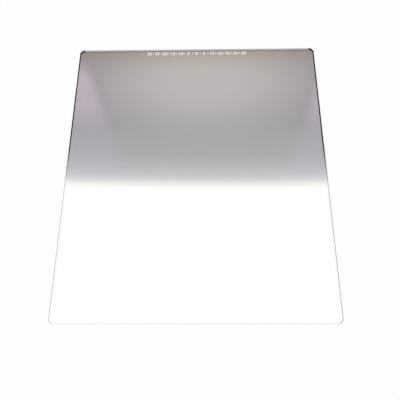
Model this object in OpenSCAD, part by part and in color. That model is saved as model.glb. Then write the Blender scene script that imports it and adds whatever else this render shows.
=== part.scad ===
// Square graduated neutral density filter for a camera lens.
//
// One flat plate of optical glass, polished on both faces, with ground edges.
// The long edges run in the guides of a filter holder. The dense end is the
// +Y end, and it fades to clear glass across the middle of the plate.
//
// Millimetres, +Z up. The plate lies flat, and the origin is the centre of its
// underside.

/* [Plate] */
// Width across the holder's guides, along X
plate_w = 150; // [60:0.5:200]
// Length along the fade, along Y
plate_l = 170; // [60:0.5:220]
// Thickness of the glass, along Z
plate_t = 2; // [1.8:0.1:5]

/* [Ground edges] */
// Length that each clipped corner takes off a side
corner_cut = 1.9; // [0.5:0.1:8]
// Radius of the rounding where a ground edge meets a polished face
edge_round = 0.85; // [0.1:0.05:0.85]

/* [Hidden] */
$fn = 48;

// Distance between the two clipped corners at the ends of one diagonal
cut_span = (plate_w + plate_l - 2 * corner_cut) / sqrt(2);
// Length of a slab that reaches past the whole plate, whichever way it is turned
slab_reach = plate_w + plate_l;
// Smoky grey of the dense end, and how much of it is seen
glass_grey = [0.45, 0.45, 0.46, 0.55];

// Section of the plate across one pair of opposite edges: flat faces, and
// upright ground edges with a rounding at each of the four corners.
module edge_section(span) {
    half = span / 2;
    translate([-half, edge_round])
        square([span, plate_t - 2 * edge_round]);
    translate([edge_round - half, 0])
        square([span - 2 * edge_round, plate_t]);
    for (x = [edge_round - half, half - edge_round])
        for (y = [edge_round, plate_t - edge_round])
            translate([x, y])
                circle(r = edge_round);
}

// A long slab with that section. Its ground edges face along the direction
// that lies turn degrees from +X, and they are span apart.
module ground_slab(span, turn) {
    rotate([0, 0, turn])
        rotate([90, 0, 0])
            linear_extrude(height = slab_reach, center = true)
                edge_section(span);
}

// The plate is what four slabs share: one for the long edges, one for the
// short edges and one for each pair of clipped corners.
module glass_plate() {
    color(glass_grey)
        intersection() {
            ground_slab(plate_w, 0);
            ground_slab(plate_l, 90);
            ground_slab(cut_span, 45);
            ground_slab(cut_span, -45);
        }
}

glass_plate();
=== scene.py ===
import math

import bmesh
import bpy
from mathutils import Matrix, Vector


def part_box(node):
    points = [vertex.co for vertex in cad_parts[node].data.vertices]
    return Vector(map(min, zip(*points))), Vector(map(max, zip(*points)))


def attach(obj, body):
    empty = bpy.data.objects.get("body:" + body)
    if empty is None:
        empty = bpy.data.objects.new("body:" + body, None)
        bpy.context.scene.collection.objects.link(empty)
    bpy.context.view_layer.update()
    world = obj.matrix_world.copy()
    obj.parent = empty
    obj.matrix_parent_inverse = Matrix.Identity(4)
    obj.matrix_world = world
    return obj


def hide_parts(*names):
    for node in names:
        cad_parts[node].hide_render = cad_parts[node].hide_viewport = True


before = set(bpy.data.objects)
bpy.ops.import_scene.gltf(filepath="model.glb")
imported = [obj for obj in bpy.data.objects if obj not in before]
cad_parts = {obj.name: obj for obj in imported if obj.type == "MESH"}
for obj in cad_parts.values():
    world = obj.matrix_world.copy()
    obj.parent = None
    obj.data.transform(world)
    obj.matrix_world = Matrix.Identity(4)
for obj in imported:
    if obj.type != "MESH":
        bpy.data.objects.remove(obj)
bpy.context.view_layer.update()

# Camera
# It looks down on the plate from 22 cm above it and a little beyond the clear
# end, at the angle of the photograph.
MM = 0.001
camera_place = Vector((6.1, -97.2, 220.5)) * MM
camera_tilt = math.radians(19.83)
camera_roll = math.radians(0.94)
camera_turn = math.radians(0.06)
focal_length = 37.44
sensor_width = 36
nearest_seen = 5 * MM

camera_lens = bpy.data.cameras.new("camera")
camera_lens.lens = focal_length
camera_lens.sensor_width = sensor_width
camera_lens.clip_start = nearest_seen
camera = bpy.data.objects.new("camera", camera_lens)
camera.location = camera_place
camera.rotation_euler = (camera_tilt, camera_roll, camera_turn)
bpy.context.scene.collection.objects.link(camera)
bpy.context.scene.camera = camera
bpy.context.scene.view_settings.view_transform = "Standard"

# Floor
# A wide white table under the plate. A share of it is lit and takes the
# plate's shadow, and the rest is plain white, also in glass and in gloss.
floor_half = 3.0
floor_drop = 0.05 * MM
floor_white = (0.93, 0.93, 0.93, 1)
lit_share = 0.1


def math_of(tree, operation, first, second=None, clamp=False):
    """A Math node's output. Each input is a number or the output of another node."""
    node = tree.nodes.new("ShaderNodeMath")
    node.operation = operation
    node.use_clamp = clamp
    for socket, value in zip(node.inputs, (first, second)):
        if isinstance(value, bpy.types.NodeSocket):
            tree.links.new(value, socket)
        elif value is not None:
            socket.default_value = value
    return node.outputs[0]


floor_bm = bmesh.new()
bmesh.ops.create_grid(floor_bm, x_segments=1, y_segments=1, size=floor_half)
bmesh.ops.translate(floor_bm, verts=floor_bm.verts, vec=(0, 0, -floor_drop))
floor_mesh = bpy.data.meshes.new("floor")
floor_bm.to_mesh(floor_mesh)
floor_bm.free()
floor = bpy.data.objects.new("floor", floor_mesh)
bpy.context.scene.collection.objects.link(floor)

floor_paint = bpy.data.materials.new("white_table")
floor_paint.use_nodes = True
tree = floor_paint.node_tree
tree.nodes.clear()
lit = tree.nodes.new("ShaderNodeBsdfDiffuse")
lit.inputs["Color"].default_value = floor_white
plain = tree.nodes.new("ShaderNodeEmission")
path = tree.nodes.new("ShaderNodeLightPath")
in_view = math_of(tree, "MAXIMUM", path.outputs["Is Camera Ray"], path.outputs["Is Glossy Ray"])
in_view_plain = math_of(tree, "MULTIPLY", in_view, 1 - lit_share)
in_glass = path.outputs["Is Transmission Ray"]
mix = tree.nodes.new("ShaderNodeMixShader")
tree.links.new(math_of(tree, "MAXIMUM", in_view_plain, in_glass), mix.inputs["Fac"])
tree.links.new(lit.outputs[0], mix.inputs[1])
tree.links.new(plain.outputs[0], mix.inputs[2])
surface = tree.nodes.new("ShaderNodeOutputMaterial")
tree.links.new(mix.outputs[0], surface.inputs["Surface"])
floor_mesh.materials.append(floor_paint)

# Light tent
# Soft white cloth all round, at a plain strength. Its back slopes up into a grey
# panel with a soft glow in it, between pinkish cloths. Only gloss shows the panel.
# A place in the tent is how far it lies across and along for its height.
tent_light = 0.75
tent_white = (0.97, 0.97, 0.98, 1)
lowest_height = 0.05
back_from, back_full = 0.35, 0.5
overhead_from, overhead_full = 0.4, 0.65
panel_from, panel_to = 0.45, 0.95
panel_colours = (
    (0.51, (0.855, 0.84, 0.865)),
    (0.57, (0.56, 0.53, 0.60)),
    (0.63, (0.33, 0.255, 0.42)),
    (0.70, (0.25, 0.155, 0.375)),
    (0.75, (0.32, 0.195, 0.36)),
    (0.79, (0.38, 0.22, 0.27)),
    (0.82, (0.39, 0.22, 0.18)),
    (0.84, (0.39, 0.39, 0.37)),
)
panel_glow = (0.97, 0.95, 0.72)
panel_glow_at = (-0.006, 0.708, 0)
panel_glow_reach = (0.536, 0.21, 1)
panel_glow_core = 0.107
panel_left_edge = (-0.248, -0.392)
panel_right_edge = (0.249, 0.363)
panel_edges_at = 0.525
panel_edge_softness = 0.021
side_brightness = 1.25
side_colours = (
    (0.51, (0.745, 0.73, 0.82)),
    (0.57, (0.665, 0.60, 0.705)),
    (0.63, (0.865, 0.715, 0.86)),
    (0.69, (0.96, 0.78, 0.925)),
    (0.75, (0.89, 0.715, 0.80)),
    (0.80, (0.45, 0.32, 0.345)),
    (0.83, (0.215, 0.14, 0.145)),
)


def ramp_of(tree, value, colours, low, high):
    """A colour ramp over value from low to high. colours holds (value, colour) pairs."""
    share = tree.nodes.new("ShaderNodeMapRange")
    share.inputs["From Min"].default_value = low
    share.inputs["From Max"].default_value = high
    tree.links.new(value, share.inputs["Value"])
    ramp = tree.nodes.new("ShaderNodeValToRGB")
    ramp.color_ramp.interpolation = "CARDINAL"
    stops = ramp.color_ramp.elements
    while len(stops) < len(colours):
        stops.new(0.5)
    for stop, (at, colour) in zip(stops, colours):
        stop.position = (at - low) / (high - low)
        stop.color = (*colour, 1)
    tree.links.new(share.outputs["Result"], ramp.inputs["Fac"])
    return ramp.outputs["Color"]


def smooth_step(tree, value, low, high):
    """0 below low, 1 above high, and smooth between. low may be above high."""
    step = tree.nodes.new("ShaderNodeMapRange")
    step.interpolation_type = "SMOOTHSTEP"
    step.inputs["From Min"].default_value = min(low, high)
    step.inputs["From Max"].default_value = max(low, high)
    step.inputs["To Min"].default_value = 0 if low < high else 1
    step.inputs["To Max"].default_value = 1 if low < high else 0
    tree.links.new(value, step.inputs["Value"])
    return step.outputs["Result"]


def mixed(tree, factor, first, second):
    """A colour mix of first and second, each a colour or another node's output."""
    node = tree.nodes.new("ShaderNodeMix")
    node.data_type = "RGBA"
    tree.links.new(factor, node.inputs["Factor"])
    for socket, value in ((node.inputs["A"], first), (node.inputs["B"], second)):
        if isinstance(value, bpy.types.NodeSocket):
            tree.links.new(value, socket)
        else:
            socket.default_value = value
    return node.outputs["Result"]


world = bpy.data.worlds.new("light_tent")
bpy.context.scene.world = world
world.use_nodes = True
tree = world.node_tree
tree.nodes.clear()
outward = tree.nodes.new("ShaderNodeTexCoord")
split = tree.nodes.new("ShaderNodeSeparateXYZ")
tree.links.new(outward.outputs["Generated"], split.inputs[0])
height = math_of(tree, "MAXIMUM", split.outputs["Z"], lowest_height)
across = math_of(tree, "DIVIDE", split.outputs["X"], height)
along = math_of(tree, "DIVIDE", split.outputs["Y"], height)

ceiling = tree.nodes.new("ShaderNodeCombineXYZ")
tree.links.new(across, ceiling.inputs["X"])
tree.links.new(along, ceiling.inputs["Y"])
off_glow = tree.nodes.new("ShaderNodeVectorMath")
off_glow.operation = "SUBTRACT"
tree.links.new(ceiling.outputs[0], off_glow.inputs[0])
off_glow.inputs[1].default_value = panel_glow_at
glow_share = tree.nodes.new("ShaderNodeVectorMath")
glow_share.operation = "DIVIDE"
tree.links.new(off_glow.outputs[0], glow_share.inputs[0])
glow_share.inputs[1].default_value = panel_glow_reach
glow_distance = tree.nodes.new("ShaderNodeVectorMath")
glow_distance.operation = "LENGTH"
tree.links.new(glow_share.outputs[0], glow_distance.inputs[0])
glow = smooth_step(tree, glow_distance.outputs["Value"], 1, panel_glow_core)
panel = tree.nodes.new("ShaderNodeVectorMath")
panel.operation = "MULTIPLY_ADD"
tree.links.new(glow, panel.inputs[0])
panel.inputs[1].default_value = panel_glow
tree.links.new(ramp_of(tree, along, panel_colours, panel_from, panel_to), panel.inputs[2])

side_tint = ramp_of(tree, along, side_colours, panel_from, panel_to)
side = tree.nodes.new("ShaderNodeVectorMath")
side.operation = "SCALE"
tree.links.new(side_tint, side.inputs[0])
side.inputs["Scale"].default_value = side_brightness

along_from_edges = math_of(tree, "SUBTRACT", along, panel_edges_at)
outside = []
for (edge_at, edge_lean), sign in ((panel_left_edge, -1), (panel_right_edge, 1)):
    leaning = math_of(tree, "MULTIPLY", along_from_edges, edge_lean)
    edge_line = math_of(tree, "ADD", leaning, edge_at)
    past_edge = math_of(tree, "MULTIPLY", math_of(tree, "SUBTRACT", across, edge_line), sign)
    outside.append(smooth_step(tree, past_edge, -panel_edge_softness, panel_edge_softness))
beside_panel = math_of(tree, "MAXIMUM", *outside)
back_of_tent = mixed(tree, beside_panel, panel.outputs[0], side.outputs[0])
in_back = smooth_step(tree, along, back_from, back_full)
overhead = smooth_step(tree, split.outputs["Z"], overhead_from, overhead_full)
mirrored = mixed(tree, math_of(tree, "MULTIPLY", in_back, overhead), tent_white, back_of_tent)

path = tree.nodes.new("ShaderNodeLightPath")
plain_white = (1, 1, 1, 1)
looked_at = mixed(tree, path.outputs["Is Glossy Ray"], plain_white, mirrored)
lighting = tree.nodes.new("ShaderNodeBackground")
lighting.inputs["Color"].default_value = plain_white
lighting.inputs["Strength"].default_value = tent_light
seen = tree.nodes.new("ShaderNodeBackground")
tree.links.new(looked_at, seen.inputs["Color"])
in_view = math_of(tree, "MAXIMUM", path.outputs["Is Camera Ray"], path.outputs["Is Glossy Ray"])
looks = math_of(tree, "MAXIMUM", in_view, path.outputs["Is Transmission Ray"])
mix = tree.nodes.new("ShaderNodeMixShader")
tree.links.new(looks, mix.inputs["Fac"])
tree.links.new(lighting.outputs[0], mix.inputs[1])
tree.links.new(seen.outputs[0], mix.inputs[2])
surface = tree.nodes.new("ShaderNodeOutputWorld")
tree.links.new(mix.outputs[0], surface.inputs["Surface"])

# Key lamp
# One large soft lamp, high on the left, gives the edges and the shadow a
# direction without a hard line.
lamp_place = Vector((-0.5, -0.2, 1.1))
lamp_side = 0.9
lamp_power = 4.0
lamp_data = bpy.data.lights.new("key_lamp", "AREA")
lamp_data.shape = "SQUARE"
lamp_data.size = lamp_side
lamp_data.energy = lamp_power
lamp = bpy.data.objects.new("key_lamp", lamp_data)
lamp.location = lamp_place
lamp.rotation_euler = (-lamp_place).to_track_quat("-Z", "Y").to_euler()
lamp.visible_glossy = False
lamp.visible_transmission = False
bpy.context.scene.collection.objects.link(lamp)

# Glass plate
# One sheet of optical glass, cut to size. Its corners are clipped, and its edges
# are ground and rounded on both sides. It lies with the coated face up.
corner_cut = 1.9 * MM
edge_round = 0.85 * MM
round_steps = 8
flat_normal = 0.999
low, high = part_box("glass_plate")

plate_bm = bmesh.new()
bmesh.ops.create_cube(plate_bm, size=1)
bmesh.ops.scale(plate_bm, verts=plate_bm.verts, vec=high - low)
bmesh.ops.translate(plate_bm, verts=plate_bm.verts, vec=(low + high) / 2)


def runs_upright(edge):
    """Whether the edge goes through the thickness of the plate."""
    first, second = (vert.co for vert in edge.verts)
    return abs(first.z - second.z) > edge_round


def bevel_plate(edges, width, steps):
    """Takes a bevel of this width off these edges of the plate."""
    bmesh.ops.bevel(
        plate_bm,
        geom=edges,
        offset=width,
        offset_type="OFFSET",
        segments=steps,
        profile=0.5,
        affect="EDGES",
        material=-1,
    )


bevel_plate([edge for edge in plate_bm.edges if runs_upright(edge)], corner_cut, 1)
flat_edges = [edge for edge in plate_bm.edges if not runs_upright(edge)]
bevel_plate(flat_edges, edge_round, round_steps)
bmesh.ops.recalc_face_normals(plate_bm, faces=plate_bm.faces)

# In the coated half the edges' greys run a narrow margin onto the face: near
# black along the long edges and at the corners, and pale along the end, where
# the underside has such a margin too; the end is paler by a painted highlight.
# The flat sides are cut along the margins and where they stop, and the whole
# plate where its far corners start.
side_margin = 0.25 * MM
end_margin = 0.6 * MM
corner_margin = 0.75 * MM
margins_from_y = -9 * MM
side_from_x = high.x - edge_round - side_margin
end_from_y = high.y - edge_round - end_margin
clip_middle = Vector((high.x - corner_cut / 2, high.y - corner_cut / 2, 0))
corner_ways = [Vector((x, 1, 0)).normalized() for x in (-1, 1)]
corner_from = clip_middle.dot(corner_ways[-1]) - edge_round - corner_margin


def flat_side(up):
    """The faces of the coated side, where up is 1, or the underside, where it is -1."""
    return [face for face in plate_bm.faces if face.normal.z * up > flat_normal]


def cut_faces(faces, at, way):
    """Cuts the faces where the plane through at, square to way, crosses them."""
    parts = dict.fromkeys(part for face in faces for part in (face, *face.edges, *face.verts))
    bmesh.ops.bisect_plane(plate_bm, geom=list(parts), plane_co=at, plane_no=way)


for x in (-side_from_x, side_from_x):
    cut_faces(flat_side(1), Vector((x, 0, 0)), Vector((1, 0, 0)))
for up, y in ((1, margins_from_y), (1, end_from_y), (-1, end_from_y)):
    cut_faces(flat_side(up), Vector((0, y, 0)), Vector((0, 1, 0)))
for way in corner_ways:
    cut_faces(plate_bm.faces, way * corner_from, way)

lowest_tilt = 0.01
COATED, UNDERSIDE, LONG_RIM, LONG_RIM_BELOW, END_RIM, END_RIM_BELOW, CLIP_RIM = range(7)
for face in plate_bm.faces:
    middle = face.calc_center_median()
    is_flat = abs(face.normal.z) > flat_normal
    faces_down = face.normal.z < -lowest_tilt
    faces_end = abs(face.normal.y) > 2 * abs(face.normal.x)
    faces_side = abs(face.normal.x) > 2 * abs(face.normal.y)
    at_far_corner = any(middle.dot(way) > corner_from for way in corner_ways)
    at_clip = not (is_flat or faces_end or faces_side)
    at_end = middle.y > end_from_y if is_flat else faces_end
    at_side = abs(middle.x) > side_from_x
    in_margin = middle.y > margins_from_y and (at_far_corner or at_end or at_side)
    if is_flat and faces_down and not at_end:
        face.material_index = UNDERSIDE
    elif is_flat and not in_margin:
        face.material_index = COATED
    elif at_far_corner or (at_clip and not faces_down):
        face.material_index = CLIP_RIM
    elif at_end:
        face.material_index = END_RIM_BELOW if faces_down else END_RIM
    else:
        face.material_index = LONG_RIM_BELOW if faces_down else LONG_RIM

plate_mesh = bpy.data.meshes.new("coated_plate")
plate_bm.to_mesh(plate_mesh)
plate_bm.free()
plate = bpy.data.objects.new("coated_plate", plate_mesh)
bpy.context.scene.collection.objects.link(plate)

# The coating is a very thin grey metal film. It is dense at the +Y end and fades
# to nothing across the middle of the plate, a little higher up along both sides.
# Its thin part is faintly yellow and then faintly blue. The group puts out its
# density and the colour that it lets through. The places of the fade along Y, and
# how far it leans and bows by the time it meets a long edge, are in millimetres.
fade_from, fade_to = -13.25, 11.25
fade_stops = (
    (-13.25, (0.00, 0.00, 0.00)),
    (-11.05, (0.03, 0.03, 0.06)),
    (-9.25, (0.105, 0.105, 0.13)),
    (-6.55, (0.295, 0.295, 0.305)),
    (-3.15, (0.51, 0.495, 0.485)),
    (0.25, (0.65, 0.635, 0.62)),
    (5.75, (0.81, 0.79, 0.77)),
    (11.25, (1.00, 1.00, 1.00)),
)
fade_lean = 0.71
fade_bow = 1.24
fade_bow_power = 4
dense_pass = 0.27

coating = bpy.data.node_groups.new("graduated_coating", "ShaderNodeTree")
coating.interface.new_socket("Density", in_out="OUTPUT", socket_type="NodeSocketFloat")
coating.interface.new_socket("Pass", in_out="OUTPUT", socket_type="NodeSocketColor")
place = coating.nodes.new("ShaderNodeTexCoord")
split = coating.nodes.new("ShaderNodeSeparateXYZ")
coating.links.new(place.outputs["Object"], split.inputs[0])
to_side = math_of(coating, "DIVIDE", split.outputs["X"], high.x)
lean = math_of(coating, "MULTIPLY", to_side, fade_lean)
sideways = math_of(coating, "POWER", math_of(coating, "ABSOLUTE", to_side), fade_bow_power)
bow = math_of(coating, "MULTIPLY", sideways, fade_bow)
along_mm = math_of(coating, "DIVIDE", split.outputs["Y"], MM)
along_mm = math_of(coating, "SUBTRACT", math_of(coating, "ADD", along_mm, lean), bow)
density = coating.nodes.new("ShaderNodeSeparateColor")
coating.links.new(ramp_of(coating, along_mm, fade_stops, fade_from, fade_to), density.inputs[0])
let_through = coating.nodes.new("ShaderNodeCombineColor")
for channel in ("Red", "Green", "Blue"):
    # equal steps of density take away equal shares of the light
    share = math_of(coating, "POWER", dense_pass, density.outputs[channel])
    coating.links.new(share, let_through.inputs[channel])
result = coating.nodes.new("NodeGroupOutput")
coating.links.new(density.outputs["Green"], result.inputs["Density"])
coating.links.new(let_through.outputs[0], result.inputs["Pass"])


def coating_in(material):
    """The coating's node group, placed in this material."""
    group = material.node_tree.nodes.new("ShaderNodeGroup")
    group.node_tree = coating
    return group


glass_ior = 1.5
glass_gloss = 0.15
coating_ior = 2.62
coating_roughness = 0.02


def polished_glass(name):
    """Optical glass that the coating darkens, with little reflection of its own."""
    material = bpy.data.materials.new(name)
    material.use_nodes = True
    shader = material.node_tree.nodes["Principled BSDF"]
    shader.inputs["Transmission Weight"].default_value = 1
    shader.inputs["Roughness"].default_value = 0
    shader.inputs["IOR"].default_value = glass_ior
    shader.inputs["Specular IOR Level"].default_value = glass_gloss
    material.node_tree.links.new(coating_in(material).outputs["Pass"], shader.inputs["Base Color"])
    return material


# The fine pitted grain that the grinding leaves, and a mask of the shoulder of
# the rounding, where a painted shade shows as a line between the face and the
# upright edge, darker where the rounding turns away from the light
grain_scale = 9000
grain_detail = 3
shoulder_top, crown_bottom = high.z - 0.22 * edge_round, high.z - 0.08 * edge_round
shoulder_bottom, upright_top = high.z - 0.65 * edge_round, high.z - 0.85 * edge_round

ground = bpy.data.node_groups.new("ground_edge", "ShaderNodeTree")
ground.interface.new_socket("Grain", in_out="OUTPUT", socket_type="NodeSocketFloat")
ground.interface.new_socket("Shoulder_shade", in_out="OUTPUT", socket_type="NodeSocketFloat")
place = ground.nodes.new("ShaderNodeTexCoord")
pits = ground.nodes.new("ShaderNodeTexNoise")
pits.inputs["Scale"].default_value = grain_scale
pits.inputs["Detail"].default_value = grain_detail
ground.links.new(place.outputs["Object"], pits.inputs["Vector"])
split = ground.nodes.new("ShaderNodeSeparateXYZ")
ground.links.new(place.outputs["Object"], split.inputs[0])
below_crown = smooth_step(ground, split.outputs["Z"], crown_bottom, shoulder_top)
above_upright = smooth_step(ground, split.outputs["Z"], upright_top, shoulder_bottom)
result = ground.nodes.new("NodeGroupOutput")
ground.links.new(pits.outputs["Fac"], result.inputs["Grain"])
# painted shade: the shoulder of the rounding is darkened where it turns away from the light
painted_shoulder_shade = math_of(ground, "MULTIPLY", below_crown, above_upright)
ground.links.new(painted_shoulder_shade, result.inputs["Shoulder_shade"])

ground_gloss = 0.2
grain_darkest, grain_contrast = 0.9, 0.2
ground_roughness, grain_roughness = 0.4, 0.3
pit_strength, pit_depth = 0.4, 0.02 * MM


def grain_share(tree, grain, contrast, lowest, clamp=False):
    """The grain spread over a range that starts at lowest."""
    return math_of(tree, "ADD", math_of(tree, "MULTIPLY", grain, contrast), lowest, clamp)


def ground_glass(name, clear_grey, shoulder_shade_grey, dense_grey, see_through):
    """Matt ground glass. At the clear end it has one grey, and another on the
    shoulder of the rounding, a painted shade. Under the coating it has a third."""
    material = bpy.data.materials.new(name)
    material.use_nodes = True
    tree = material.node_tree
    shader = tree.nodes["Principled BSDF"]
    shader.inputs["Specular IOR Level"].default_value = ground_gloss
    shader.inputs["Transmission Weight"].default_value = see_through
    finish = tree.nodes.new("ShaderNodeGroup")
    finish.node_tree = ground
    grain = finish.outputs["Grain"]
    clear_colour, shoulder_shade_colour, dense_colour = (
        (grey, grey, grey, 1) for grey in (clear_grey, shoulder_shade_grey, dense_grey)
    )
    # painted shade on the shoulder of the rounding
    uncoated = mixed(tree, finish.outputs["Shoulder_shade"], clear_colour, shoulder_shade_colour)
    colour = mixed(tree, coating_in(material).outputs["Density"], uncoated, dense_colour)
    pitted = tree.nodes.new("ShaderNodeVectorMath")
    pitted.operation = "SCALE"
    tree.links.new(colour, pitted.inputs[0])
    brightness = grain_share(tree, grain, grain_contrast, grain_darkest, clamp=True)
    tree.links.new(brightness, pitted.inputs["Scale"])
    tree.links.new(pitted.outputs[0], shader.inputs["Base Color"])
    roughness = grain_share(tree, grain, grain_roughness, ground_roughness)
    tree.links.new(roughness, shader.inputs["Roughness"])
    relief = tree.nodes.new("ShaderNodeBump")
    relief.inputs["Strength"].default_value = pit_strength
    relief.inputs["Distance"].default_value = pit_depth
    tree.links.new(grain, relief.inputs["Height"])
    tree.links.new(relief.outputs["Normal"], shader.inputs["Normal"])
    return material


coated_face = polished_glass("coated_glass_face")
shader = coated_face.node_tree.nodes["Principled BSDF"]
shader.inputs["Coat IOR"].default_value = coating_ior
shader.inputs["Coat Roughness"].default_value = coating_roughness
coating_density = coating_in(coated_face).outputs["Density"]
coated_face.node_tree.links.new(coating_density, shader.inputs["Coat Weight"])

# Each ground finish: its greys where the glass is clear, on the shoulder there
# (a painted shade) and under the dense coating, and the share of light that passes
# The end rims are paler under the coating than the long and clip rims: a painted highlight along
# the end
ground_finishes = (
    ("ground_glass_long_rim", 1.0, 0.12, 0.005, 0),
    ("ground_glass_long_rim_below", 1.0, 1.0, 1.0, 1.0),
    ("ground_glass_end_rim", 1.0, 0.93, 0.52, 0),
    ("ground_glass_end_rim_below", 1.0, 1.0, 0.8, 0.15),
    ("ground_glass_clip_rim", 1.0, 0.35, 0.005, 0),
)
plate_mesh.materials.append(coated_face)
plate_mesh.materials.append(polished_glass("polished_glass_underside"))
for finish_values in ground_finishes:
    plate_mesh.materials.append(ground_glass(*finish_values))
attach(plate, "root")
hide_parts("glass_plate")

# Centring scale
# Fine pale figures and marks, screen printed on the coated face along the dense
# end, to line the plate up with the middle of the lens.
figure_height = 2.2 * MM
scale_line_y = 80.2 * MM
scale_reach = 30
figure_step = 5
mark_width = 0.32 * MM
mark_height = 1.6 * MM
letter_depth = 0.05
letter_boldness = 0.025
letter_steps = 4
weld_distance = 1e-5
ink_thickness = 0.02 * MM
ink_sunk = 0.005 * MM
ink_bottom = high.z - ink_sunk
ink_top = high.z + ink_thickness
ink_middle = (ink_top + ink_bottom) / 2

scale_bm = bmesh.new()
for left_figure in range(-scale_reach, scale_reach, figure_step):
    mark = bmesh.ops.create_cube(scale_bm, size=1)["verts"]
    bmesh.ops.scale(scale_bm, verts=mark, vec=(mark_width, mark_height, ink_top - ink_bottom))
    between = (left_figure + figure_step / 2) * MM
    middle = (between, scale_line_y + figure_height / 2, ink_middle)
    bmesh.ops.translate(scale_bm, verts=mark, vec=middle)

for at in range(-scale_reach, scale_reach + 1, figure_step):
    words = bpy.data.curves.new("figure", "FONT")
    words.body = str(abs(at))
    words.align_x = "CENTER"
    words.extrude = letter_depth
    words.offset = letter_boldness
    words.resolution_u = letter_steps
    holder = bpy.data.objects.new("figure", words)
    bpy.context.scene.collection.objects.link(holder)
    bpy.context.view_layer.update()
    shaped = holder.evaluated_get(bpy.context.evaluated_depsgraph_get())
    figure_mesh = bpy.data.meshes.new_from_object(shaped)
    bpy.data.objects.remove(holder)
    figure_bm = bmesh.new()
    figure_bm.from_mesh(figure_mesh)
    bmesh.ops.remove_doubles(figure_bm, verts=figure_bm.verts, dist=weld_distance)
    bmesh.ops.recalc_face_normals(figure_bm, faces=figure_bm.faces)
    grow = figure_height / max(vert.co.y for vert in figure_bm.verts)
    thin = (ink_top - ink_middle) / max(vert.co.z for vert in figure_bm.verts)
    bmesh.ops.scale(figure_bm, verts=figure_bm.verts, vec=(grow, grow, thin))
    bmesh.ops.translate(figure_bm, verts=figure_bm.verts, vec=(at * MM, scale_line_y, ink_middle))
    figure_bm.to_mesh(figure_mesh)
    figure_bm.free()
    scale_bm.from_mesh(figure_mesh)
    bpy.data.meshes.remove(figure_mesh)

scale_mesh = bpy.data.meshes.new("centring_scale")
scale_bm.to_mesh(scale_mesh)
scale_bm.free()
scale = bpy.data.objects.new("centring_scale", scale_mesh)
bpy.context.scene.collection.objects.link(scale)

ink_thin, ink_full = (0.86, 0.83, 0.77, 1), (0.97, 0.94, 0.88, 1)
ink_mottle_scale = 2500
ink_roughness = 0.6
ink = bpy.data.materials.new("pale_scale_ink")
ink.use_nodes = True
tree = ink.node_tree
shader = tree.nodes["Principled BSDF"]
shader.inputs["Roughness"].default_value = ink_roughness
place = tree.nodes.new("ShaderNodeTexCoord")
mottle = tree.nodes.new("ShaderNodeTexNoise")
mottle.inputs["Scale"].default_value = ink_mottle_scale
tree.links.new(place.outputs["Object"], mottle.inputs["Vector"])
ink_colour = mixed(tree, mottle.outputs["Fac"], ink_thin, ink_full)
tree.links.new(ink_colour, shader.inputs["Base Color"])
scale_mesh.materials.append(ink)
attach(scale, "root")
